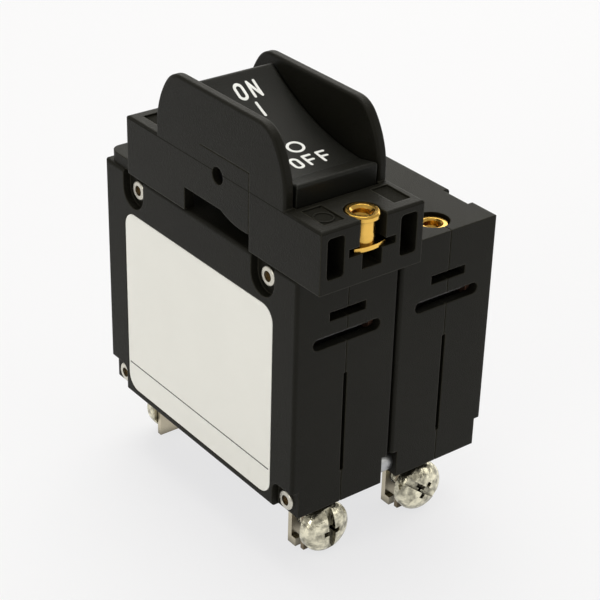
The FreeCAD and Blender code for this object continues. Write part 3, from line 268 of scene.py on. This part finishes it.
def metal(name, colour, roughness, marks, depth, rounding, stretch=(1, 1, 1), uneven=0.12,
          cloud_size=1.6 * MM, contrast=1.0, shade_reach=1.6 * MM):
    """Plated or bare metal with fine drawing marks, uneven tone in random clouds, and painted
    shade that darkens its recesses.
    """
    made = Finish(name, colour, roughness, metallic=1.0)
    # Random plating tone in clouds; where spread and contrast are large, as on the screws, it is
    # partly painted reflection.
    cloud = contrast * (made.noise(cloud_size, detail=3.0) - 0.5) + 0.5
    mark = made.noise(marks, detail=3.0, stretch=stretch)
    plate = made.blend(cloud, shade(colour, 1 - uneven), shade(colour, 1 + uneven))
    # Painted shade: an ambient-occlusion mask darkens recesses, slots and narrow gaps towards a
    # dark tone, standing in for the shade that falls there.
    recess_shade = made.closed_in(shade_reach) * RECESS_SHADE_GAIN - RECESS_SHADE_START
    made.set("Base Color", made.blend(recess_shade, plate, shade(colour, RECESS_SHADE_TONE)))
    made.set("Roughness", roughness - MARK_SHINE / 2 + MARK_SHINE * mark)
    made.relief(mark, depth, rounding)
    return made.material


def winding_copper():
    """Enamelled copper wire laid in close turns across the bobbin."""
    colour = (0.58, 0.20, 0.08)
    wire = 0.5 * MM
    made = Finish("winding_copper", colour, 0.3, metallic=1.0)
    turn = 0.5 + 0.5 * (made.y * (2 * math.pi / wire)).sine()
    cloud = made.noise(1.2 * MM)
    lit = made.blend(cloud, shade(colour, 0.85), shade(colour, 1.2))
    # Painted shade: dark bands in the troughs between turns stand in for the shade in the grooves
    # between wires.
    made.set("Base Color", made.blend(turn, shade(colour, 0.35), lit))
    made.set("Roughness", 0.34 - 0.1 * turn)
    made.relief(turn, 0.12 * MM)
    return made.material


def braid_copper():
    """Bare copper strands plaited at a slant."""
    colour = (0.72, 0.34, 0.18)
    strand = 0.45 * MM
    made = Finish("braid_copper", colour, 0.42, metallic=1.0)
    over = (made.z + made.y) * (2 * math.pi / strand)
    under = (made.z - made.y + made.x) * (2 * math.pi / strand)
    plait = 0.5 + 0.25 * over.sine() + 0.25 * under.sine()
    # Painted shade: the pattern's troughs are darkened, standing in for the shade between the
    # strands.
    made.set("Base Color", made.blend(plait, shade(colour, 0.4), shade(colour, 1.15)))
    made.set("Roughness", 0.5 - 0.12 * plait)
    made.relief(plait, 0.1 * MM)
    return made.material


def rivet_metal():
    """Bright plated rivet with a dull tan hollow."""
    colour = (0.60, 0.58, 0.51)
    tan = (0.50, 0.40, 0.24, 1.0)
    flange = 0.45 * MM
    made = Finish("rivet_metal", colour, 0.3, metallic=1.0)
    hollow = abs(made.x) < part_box("case_rivets")[1].x - flange
    mark = made.noise(0.3 * MM, detail=3.0)
    plate = made.blend(mark, shade(colour, 0.6), shade(colour, 1.4))
    made.set("Base Color", made.blend(hollow, plate, tan))
    made.set("Roughness", 0.24 + 0.14 * mark + 0.2 * hollow)
    made.relief(mark, 0.004 * MM, 0.08 * MM)
    return made.material


RULE_HEIGHT = 0.147


def label_film():
    """Off-white printed film with a thin black rule along its lower part."""
    colour = (0.84, 0.84, 0.80)
    black = (0.02, 0.02, 0.02, 1.0)
    half_rule = 0.12 * MM
    margin = 0.4 * MM
    made = Finish("label_film", colour, 0.42, specular=0.45)
    low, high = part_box("rating_label")
    rule = low.z + RULE_HEIGHT * (high.z - low.z)
    reach = (high.y - low.y) / 2 - margin
    along = made.y - middle("rating_label").y
    mask = (abs(made.z - rule) < half_rule) * (abs(along) < reach)
    cloud = made.noise(14 * MM, detail=3.0)
    paper = made.blend(cloud, shade(colour, 0.96), shade(colour, 1.03))
    made.set("Base Color", made.blend(mask, paper, black))
    made.relief(made.noise(0.35 * MM), 0.004 * MM)
    return made.material


BLACK = (0.0088, 0.0084, 0.0058)
SATIN_BLACK = (0.0085, 0.0086, 0.0068)
PAD_SINK = 0.4 * MM
PAD_HEIGHT = mount("panel_face")[0].z - PAD_SINK

FINISHES = {
    "case_plastic": moulded(
        "case_plastic", BLACK, roughness=0.50,
        grain=0.20 * MM, depth=0.06 * MM, rounding=0.3 * MM, specular=0.11,
    ),
    "bezel_plastic": moulded(
        "bezel_plastic", BLACK, roughness=0.46,
        grain=0.20 * MM, depth=0.06 * MM, rounding=0.3 * MM, specular=0.11, pad_height=PAD_HEIGHT,
    ),
    "rocker_plastic": moulded(
        "rocker_plastic", SATIN_BLACK, roughness=0.42,
        grain=0.18 * MM, depth=0.04 * MM, rounding=0.25 * MM, specular=0.15,
    ),
    "shaft_plastic": moulded(
        "shaft_plastic", (0.45, 0.40, 0.30), roughness=0.5,
        grain=0.2 * MM, depth=0.01 * MM, rounding=0.15 * MM,
    ),
    "bobbin_nylon": moulded(
        "bobbin_nylon", (0.62, 0.58, 0.46), roughness=0.45,
        grain=0.2 * MM, depth=0.008 * MM, rounding=0.15 * MM,
    ),
    # Fibre board: a very dark red-brown, partly its own colour and partly painted shade for the
    # dim inside of the vent slot where it shows.
    "fibre_board": moulded(
        "fibre_board", (0.09, 0.045, 0.03), roughness=0.75,
        grain=0.3 * MM, depth=0.03 * MM, rounding=0.1 * MM,
    ),
    "rivet_metal": rivet_metal(),
    "insert_brass": metal(
        "insert_brass", (0.82, 0.50, 0.11), roughness=0.2,
        marks=0.4 * MM, depth=0.003 * MM, rounding=0.08 * MM,
    ),
    "pin_steel": metal(
        "pin_steel", (0.05, 0.05, 0.05), roughness=0.4,
        marks=0.3 * MM, depth=0.003 * MM, rounding=0.05 * MM,
    ),
    # Screw plating: the wide, sharpened tone spread is partly painted reflection, standing in for
    # bright and dark reflections on the domes.
    "screw_nickel": metal(
        "screw_nickel", (0.62, 0.59, 0.46), roughness=0.2,
        marks=0.9 * MM, depth=0.16 * MM, rounding=0.1 * MM,
        uneven=0.5, cloud_size=1.1 * MM, contrast=3.5,
    ),
    "tab_metal": metal(
        "tab_metal", (0.66, 0.60, 0.46), roughness=0.36,
        marks=0.2 * MM, depth=0.005 * MM, rounding=0.08 * MM,
        stretch=(1, 1, 0.1), shade_reach=2.2 * MM,
    ),
    "arm_copper": metal(
        "arm_copper", (0.80, 0.38, 0.22), roughness=0.32,
        marks=0.3 * MM, depth=0.004 * MM, rounding=0.05 * MM,
    ),
    "contact_silver": metal(
        "contact_silver", (0.86, 0.86, 0.83), roughness=0.3,
        marks=0.3 * MM, depth=0.004 * MM, rounding=0.05 * MM,
    ),
    "magnet_steel": metal(
        "magnet_steel", (0.48, 0.49, 0.50), roughness=0.4,
        marks=0.25 * MM, depth=0.005 * MM, rounding=0.05 * MM,
    ),
    "winding_copper": winding_copper(),
    "tube_brass": metal(
        "tube_brass", (0.80, 0.58, 0.24), roughness=0.3,
        marks=0.3 * MM, depth=0.003 * MM, rounding=0.05 * MM,
    ),
    "braid_copper": braid_copper(),
    "label_film": label_film(),
}

# Clamp plates: a dark brownish copy of the plating, partly their own tone and partly painted shade
# for the shadow they sit in between tab and screw head.
SHADE_DARKENED_PLATE = metal(
    "shade_darkened_plate", (0.30, 0.24, 0.16), roughness=0.34,
    marks=0.5 * MM, depth=0.03 * MM, rounding=0.1 * MM, uneven=0.5, shade_reach=3 * MM,
)

for part in frame["record"]["subparts"]:
    materials = NODES[part["node"]].data.materials
    materials.clear()
    materials.append(FINISHES[part["material_slot"]])

NODES["clamp_plates"].data.materials[0] = SHADE_DARKENED_PLATE


# ---------------------------------------------------------------- modelling helpers
def deselect():
    """Leaves edit mode with nothing selected."""
    if bpy.context.mode != "OBJECT":
        bpy.ops.object.mode_set(mode="OBJECT")
    bpy.ops.object.select_all(action="DESELECT")


def pick(piece):
    """Makes a piece the only one that is selected and active."""
    deselect()
    piece.select_set(True)
    bpy.context.view_layer.objects.active = piece


def bake_place(piece):
    """Puts the object's place, turn and scale into its mesh."""
    pick(piece)
    bpy.ops.object.transform_apply(location=True, rotation=True, scale=True)


def apply_modifier(piece, kind, **settings):
    """Adds one modifier and applies it."""
    pick(piece)
    made = piece.modifiers.new(kind.lower(), kind)
    for name, value in settings.items():
        setattr(made, name, value)
    bpy.ops.object.modifier_apply(modifier=made.name)


def finish_piece(piece, name, body, slot, smooth=35.0, material=None):
    """Names a finished mesh, dresses it and ties it to its body."""
    bake_place(piece)
    bpy.ops.object.shade_smooth_by_angle(angle=math.radians(smooth))
    piece.name = piece.data.name = name
    piece.data.materials.clear()
    piece.data.materials.append(material or FINISHES[slot])
    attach(piece, body)
    return piece


def select_where(piece, test):
    """Goes to edit mode with the points selected that pass a test."""
    pick(piece)
    bpy.ops.object.mode_set(mode="EDIT")
    bpy.ops.mesh.select_mode(type="VERT")
    bpy.ops.mesh.select_all(action="DESELECT")
    bpy.ops.object.mode_set(mode="OBJECT")
    for corner in piece.data.vertices:
        corner.select = test(corner.co)
    bpy.ops.object.mode_set(mode="EDIT")


def join(pieces):
    """Makes one mesh of several."""
    deselect()
    for piece in pieces:
        piece.select_set(True)
    bpy.context.view_layer.objects.active = pieces[0]
    if len(pieces) > 1:
        bpy.ops.object.join()
    return bpy.context.view_layer.objects.active


def copy_of(piece):
    """A copy with its own mesh."""
    made = piece.copy()
    made.data = piece.data.copy()
    bpy.context.collection.objects.link(made)
    return made


def rise(height, share=1.0):
    """Extrudes the selected face upwards and scales it."""
    bpy.ops.mesh.extrude_region_move(TRANSFORM_OT_translate={"value": (0, 0, height)})
    bpy.ops.transform.resize(value=(share, share, 1.0))


def cut_with(piece, cutter):
    """Cuts a solid out of a piece."""
    apply_modifier(piece, "BOOLEAN", object=cutter, operation="DIFFERENCE", solver="EXACT")
    bpy.data.objects.remove(cutter)


# ---------------------------------------------------------------- on and off legend
LEGEND_X = middle("rocker").x + 0.3 * MM
ON_REACH = 5.9 * MM
BAR_REACH = 1.35 * MM
BAR_LENGTH = 2.3 * MM
RING_REACH = -6.1 * MM
RING_WIDTH = 3.0 * MM
RING_FLATNESS = 0.88
OFF_REACH = -9.7 * MM
LETTER_HEIGHT = 2.85 * MM
LETTER_WIDTH = 1.75 * MM
LETTER_PITCH = 2.5 * MM
PRINT_LIFT = 0.03 * MM
PRINT_STEP = 0.004 * MM
PRINT_THICKNESS = 0.06 * MM
STROKE = 0.47 * MM


def rocker_top(across, along):
    """Point of the rocker's crown straight above a place."""
    return NODES["rocker"].ray_cast((across, along, 1.0), (0, 0, -1))[1]


def lay_on_rocker(piece, name):
    """Drops a flat mesh on the rocker's crown and gives it the thickness of pad print."""
    bake_place(piece)
    pick(piece)
    bpy.ops.object.mode_set(mode="EDIT")
    bpy.ops.mesh.select_all(action="SELECT")
    bpy.ops.mesh.quads_convert_to_tris()
    bpy.ops.mesh.subdivide(number_cuts=3)
    bpy.ops.object.mode_set(mode="OBJECT")
    for corner in piece.data.vertices:
        corner.co.z += rocker_top(corner.co.x, corner.co.y).z + PRINT_LIFT
    apply_modifier(piece, "SOLIDIFY", thickness=PRINT_THICKNESS, offset=-1.0)
    return finish_piece(piece, name, "rocker", "rocker_plastic", material=PRINT)


def stroke(start, end, lift=0.0):
    """A flat stroke with round ends from one point to another."""
    start, end = Vector(start), Vector(end)
    deselect()
    bpy.ops.mesh.primitive_circle_add(vertices=20, radius=STROKE / 2, fill_type="NGON")
    piece = bpy.context.object
    select_where(piece, lambda place: place.x > STROKE / 20)
    bpy.ops.transform.translate(value=((end - start).length, 0, 0))
    bpy.ops.object.mode_set(mode="OBJECT")
    piece.rotation_euler.z = math.atan2(end.y - start.y, end.x - start.x)
    piece.location = (*start, lift)
    bake_place(piece)
    return piece


def oval(across, along, width, height, flat=1.0):
    """A flat ring of the stroke's width, with straight flanks or flattened by a share."""
    deselect()
    bpy.ops.mesh.primitive_circle_add(vertices=48, radius=width / 2, fill_type="NGON")
    piece = bpy.context.object
    select_where(piece, lambda place: place.y > 0)
    bpy.ops.transform.translate(value=(0, height - width, 0))
    bpy.ops.mesh.select_all(action="SELECT")
    bpy.ops.mesh.inset(thickness=STROKE)
    bpy.ops.mesh.delete(type="FACE")
    bpy.ops.object.mode_set(mode="OBJECT")
    piece.scale.y = flat
    piece.location = (across, along - (height - width) / 2, 0)
    bake_place(piece)
    return piece


def letter(sign, across, along):
    """Strokes of one narrow capital around its middle."""
    side = (LETTER_WIDTH - STROKE) / 2
    top = (LETTER_HEIGHT - STROKE) / 2
    if sign == "O":
        return [oval(across, along, LETTER_WIDTH, LETTER_HEIGHT)]
    stem = ((-side, -top), (-side, top))
    lines = {
        "N": [stem, ((side, -top), (side, top)), ((-side, top), (side, -top))],
        "F": [stem, ((-side, top), (side, top)), ((-side, 0), (side * 0.8, 0))],
    }
    place = Vector((across, along))
    return [
        stroke(place + Vector(start), place + Vector(end), count * PRINT_STEP)
        for count, (start, end) in enumerate(lines[sign])
    ]


def word(text, name, along):
    """A printed word across the rocker, its foot towards the nose."""
    first = LEGEND_X - (len(text) - 1) * LETTER_PITCH / 2
    strokes = []
    for count, sign in enumerate(text):
        strokes += letter(sign, first + count * LETTER_PITCH, along)
    return lay_on_rocker(join(strokes), name)


ink = Finish("print_white", (0.86, 0.87, 0.86), 0.5, specular=0.3)
ink.set("Roughness", 0.45 + 0.15 * ink.noise(0.2 * MM))
PRINT = ink.material

PIVOT_Y = middle("rocker_pin").y
word("ON", "legend_on", PIVOT_Y + ON_REACH)
word("OFF", "legend_off", PIVOT_Y + OFF_REACH)
bar_foot = Vector((LEGEND_X, PIVOT_Y + BAR_REACH))
lay_on_rocker(stroke(bar_foot, bar_foot + Vector((0, BAR_LENGTH))), "legend_bar")
ring = oval(LEGEND_X, PIVOT_Y + RING_REACH, RING_WIDTH, RING_WIDTH, RING_FLATNESS)
lay_on_rocker(ring, "legend_ring")


# ---------------------------------------------------------------- threads and screws
INSERT_BORE = 1.4 * MM
INSERT_TOOTH = 0.26 * MM
INSERT_PITCH = 0.79 * MM
INSERT_TURNS = 5
INSERT_MOUTH = 0.75 * MM
THREAD_SINK = 0.04 * MM

HEAD_SWELL = 0.25 * MM
screws_low, screws_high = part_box("terminal_screws")
HEAD_RADIUS = (screws_high.z - screws_low.z) / 2 + HEAD_SWELL
HEAD_HEIGHT = mount("line_screw_a")[0].y - screws_low.y
HEAD_SIDE = 1.1 * MM
HEAD_FOOT = 0.95
DOME_STEPS = 10
DOME_FULLNESS = 0.8
SLOT_WIDTH = 1.25 * MM
SLOT_DEPTH = 1.25 * MM
CROSS_REACH = 2.3 * MM
CROSS_WIDTH = 1.3 * MM
CROSS_DEPTH = 2.1 * MM
CROSS_TAPER = 0.35
SHANK_LENGTH = 6.4 * MM
SHANK_OVERLAP = 0.1 * MM
SHANK_POINT = 1.2 * MM
SHANK_TAPER = 0.6
SHANK_CORE = 1.7 * MM
SHANK_TOOTH = 0.36 * MM
SHANK_PITCH = 0.79 * MM
TOOTH_FOOT = 0.84
SCREW_TURNS = {"line_screw_a": 4, "line_screw_b": 52, "load_screw_a": 20, "load_screw_b": -35}


def thread(radius, tooth, pitch, turns):
    """A helical ridge up the Z axis; a negative tooth points inwards."""
    deselect()
    bpy.ops.mesh.primitive_circle_add(vertices=3, radius=radius)
    ridge = bpy.context.object
    half = TOOTH_FOOT * pitch / 2
    profile = ((radius, 0, -half), (radius + tooth, 0, 0), (radius, 0, half))
    for corner, place in zip(ridge.data.vertices, profile):
        corner.co = place
    apply_modifier(ridge, "SCREW", steps=32, render_steps=32, iterations=turns, screw_offset=pitch)
    select_where(ridge, lambda place: True)
    bpy.ops.mesh.fill_holes(sides=3)
    bpy.ops.mesh.normals_make_consistent(inside=False)
    bpy.ops.object.mode_set(mode="OBJECT")
    return ridge


def insert_thread(name, top, pocket):
    """Thread inside a brass insert, just below its mouth."""
    place = mount(pocket)[0]
    ridge = thread(INSERT_BORE + THREAD_SINK, -INSERT_TOOTH, INSERT_PITCH, INSERT_TURNS)
    ridge.location = (place.x, place.y, top - INSERT_MOUTH - INSERT_PITCH * INSERT_TURNS)
    return finish_piece(ridge, name, "breaker_body", "insert_brass", smooth=25.0)


def screw_head():
    """Domed head on the Z axis, standing on its underside, with a slot across a crossed recess."""
    deselect()
    foot = HEAD_RADIUS * HEAD_FOOT
    bpy.ops.mesh.primitive_circle_add(vertices=72, radius=foot, fill_type="NGON")
    head = bpy.context.object
    select_where(head, lambda place: True)
    rise(HEAD_SIDE / 4, 1 / HEAD_FOOT)
    rise(HEAD_SIDE * 3 / 4)
    wide = 1.0
    high = 0.0
    for count in range(1, DOME_STEPS):
        turn = math.pi / 2 * count / DOME_STEPS
        next_wide = math.cos(turn) ** DOME_FULLNESS
        next_high = math.sin(turn) * (HEAD_HEIGHT - HEAD_SIDE)
        rise(next_high - high, next_wide / wide)
        wide, high = next_wide, next_high
    bpy.ops.mesh.select_all(action="SELECT")
    bpy.ops.mesh.normals_make_consistent(inside=False)
    bpy.ops.object.mode_set(mode="OBJECT")

    deselect()
    bpy.ops.mesh.primitive_cube_add(size=1.0, location=(0, 0, HEAD_HEIGHT))
    slot = bpy.context.object
    slot.scale = (HEAD_RADIUS * 3, SLOT_WIDTH, SLOT_DEPTH * 2)
    bake_place(slot)
    cut_with(head, slot)
    for turn in (0, 90):
        deselect()
        bpy.ops.mesh.primitive_cube_add(size=1.0, location=(0, 0, HEAD_HEIGHT))
        wing = bpy.context.object
        wing.scale = (CROSS_REACH * 2, CROSS_WIDTH, CROSS_DEPTH * 2)
        wing.rotation_euler.z = math.radians(turn)
        bake_place(wing)
        select_where(wing, lambda place: place.z < HEAD_HEIGHT)
        bpy.ops.transform.resize(value=(CROSS_TAPER, CROSS_TAPER, 1.0))
        bpy.ops.object.mode_set(mode="OBJECT")
        cut_with(head, wing)
    return head


def screw_shank():
    """Core of the shank below the head, tapered at its point."""
    deselect()
    start = (0, 0, SHANK_OVERLAP)
    bpy.ops.mesh.primitive_circle_add(
        vertices=48, radius=SHANK_CORE, fill_type="NGON", location=start
    )
    core = bpy.context.object
    select_where(core, lambda place: True)
    rise(-(SHANK_LENGTH - SHANK_POINT + SHANK_OVERLAP))
    rise(-SHANK_POINT, SHANK_TAPER)
    bpy.ops.mesh.select_all(action="SELECT")
    bpy.ops.mesh.normals_make_consistent(inside=False)
    bpy.ops.object.mode_set(mode="OBJECT")
    return core


def terminal_screw():
    """The whole screw on the Z axis, its head up."""
    turns = int((SHANK_LENGTH - SHANK_POINT) / SHANK_PITCH)
    ridge = thread(SHANK_CORE - THREAD_SINK / 2, SHANK_TOOTH, SHANK_PITCH, turns)
    ridge.location.z = -SHANK_PITCH * (turns + 0.5)
    bake_place(ridge)
    return join([screw_head(), screw_shank(), ridge])


bezel_insert_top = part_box("bezel_inserts")[1].z
case_insert_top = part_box("case_inserts")[1].z
for end in ("near", "far"):
    insert_thread(f"bezel_insert_thread_{end}", bezel_insert_top, f"bezel_insert_{end}")
    insert_thread(f"case_insert_thread_{end}", case_insert_top, f"case_insert_b_{end}")

master = terminal_screw()
for name, turn in SCREW_TURNS.items():
    place, outward = mount(name)
    screw = copy_of(master)
    facing = outward.to_track_quat("Z", "X").to_matrix().to_4x4()
    spin = Matrix.Rotation(math.radians(turn), 4, "Z")
    screw.matrix_world = Matrix.Translation(place) @ facing @ spin
    finish_piece(screw, f"{name}_threaded", "breaker_body", "screw_nickel", smooth=30.0)
    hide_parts("terminal_screws")
bpy.data.objects.remove(master)


# ---------------------------------------------------------------- mark in the nose's pad
PAD_RING_RADIUS = 1.6 * MM
PAD_RING_WIDTH = 0.28 * MM
PAD_RING_HEIGHT = 0.2 * MM
PAD_RING_BEVEL = 0.08 * MM
PAD_RING_PLACE = Vector((-5.6 * MM, -2.3 * MM, -PAD_SINK - 0.02 * MM))


def pad_ring():
    """Low moulded ring that an ejector pin leaves in the nose's left pad."""
    deselect()
    bpy.ops.mesh.primitive_circle_add(vertices=56, radius=PAD_RING_RADIUS, fill_type="NGON")
    ring = bpy.context.object
    select_where(ring, lambda place: True)
    bpy.ops.mesh.inset(thickness=PAD_RING_WIDTH)
    bpy.ops.mesh.delete(type="FACE")
    bpy.ops.object.mode_set(mode="OBJECT")
    apply_modifier(ring, "SOLIDIFY", thickness=PAD_RING_HEIGHT, offset=1.0)
    apply_modifier(ring, "BEVEL", width=PAD_RING_BEVEL, segments=2)
    ring.location = mount("panel_face")[0] + PAD_RING_PLACE
    return finish_piece(ring, "pad_ring", "breaker_body", "bezel_plastic")


pad_ring()


# ---------------------------------------------------------------- floor, light and camera
MIRRORED_SHARE = 0.75
GLOW_SHARE = 0.8


def ground(name, colour):
    """Matt ground that keeps its own pale colour where the camera or a mirror sees it."""
    made = Finish(name, colour, 0.9, specular=0.0)
    tree = made.tree
    path = made.node("ShaderNodeLightPath")
    mirrored = MIRRORED_SHARE * Value(path.outputs["Is Glossy Ray"])
    seen = Value(path.outputs["Is Camera Ray"]) + mirrored
    seen = seen + Value(path.outputs["Is Transmission Ray"])
    glow = made.node("ShaderNodeEmission", inputs={"Color": (*colour, 1.0), "Strength": 1.0})
    both = made.node("ShaderNodeMixShader", inputs={0: seen * GLOW_SHARE})
    tree.links.new(made.shader.outputs[0], both.inputs[1])
    tree.links.new(glow.outputs[0], both.inputs[2])
    tree.links.new(both.outputs[0], tree.nodes["Material Output"].inputs["Surface"])
    return made.material


deselect()
bpy.ops.mesh.primitive_plane_add(size=6.0, location=(0, 0, 0))
floor = bpy.context.object
floor.name = "floor"
floor.data.materials.append(ground("floor", (0.90, 0.90, 0.91)))
floor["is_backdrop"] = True

world = bpy.data.worlds.new("studio")
bpy.context.scene.world = world
world.use_nodes = True
backdrop = world.node_tree.nodes["Background"].inputs
backdrop["Color"].default_value = (1.0, 0.98, 0.93, 1.0)
backdrop["Strength"].default_value = 0.42


LAMP_COLOUR = (1.0, 0.98, 0.92)


def softbox(name, place, aim, size, power):
    """A square area lamp at a place, turned to face a point."""
    bpy.ops.object.light_add(type="AREA", location=place)
    lamp = bpy.context.object
    lamp.name = name
    lamp.data.size = size
    lamp.data.energy = power
    lamp.data.color = LAMP_COLOUR
    lamp.rotation_euler = (Vector(aim) - Vector(place)).to_track_quat("-Z", "Y").to_euler()


HEART = (0, 0, 0.03)
ROCKER = (0, 0, 0.05)
softbox("top_light", (0.05, 0.10, 0.60), HEART, size=0.45, power=2.6)
softbox("left_light", (-0.60, -0.15, 0.30), HEART, size=0.35, power=0.85)
softbox("right_light", (0.45, -0.45, 0.20), HEART, size=0.30, power=0.42)
softbox("back_light", (0.36, 0.46, 0.36), ROCKER, size=0.40, power=1.0)
softbox("far_light", (0.58, 0.20, 0.20), HEART, size=0.35, power=0.8)

AIM = Vector((-2.925, -2.97, 36.00)) * MM
DISTANCE = 271.59 * MM
LENS = 102.51
AZIMUTH, ELEVATION, ROLL = (math.radians(turn) for turn in (-38.02, 29.13, 1.59))
turned = (
    Matrix.Rotation(AZIMUTH, 4, "Z")
    @ Matrix.Rotation(math.pi / 2 - ELEVATION, 4, "X")
    @ Matrix.Rotation(ROLL, 4, "Z")
)
bpy.ops.object.camera_add()
camera = bpy.context.object
camera.data.sensor_width = 36.0
camera.data.lens = LENS
camera.data.clip_start = 0.01
camera.matrix_world = Matrix.Translation(AIM + turned.to_3x3() @ Vector((0, 0, DISTANCE))) @ turned
bpy.context.scene.camera = camera
bpy.context.scene.view_settings.view_transform = "Standard"

keep_size("visual")
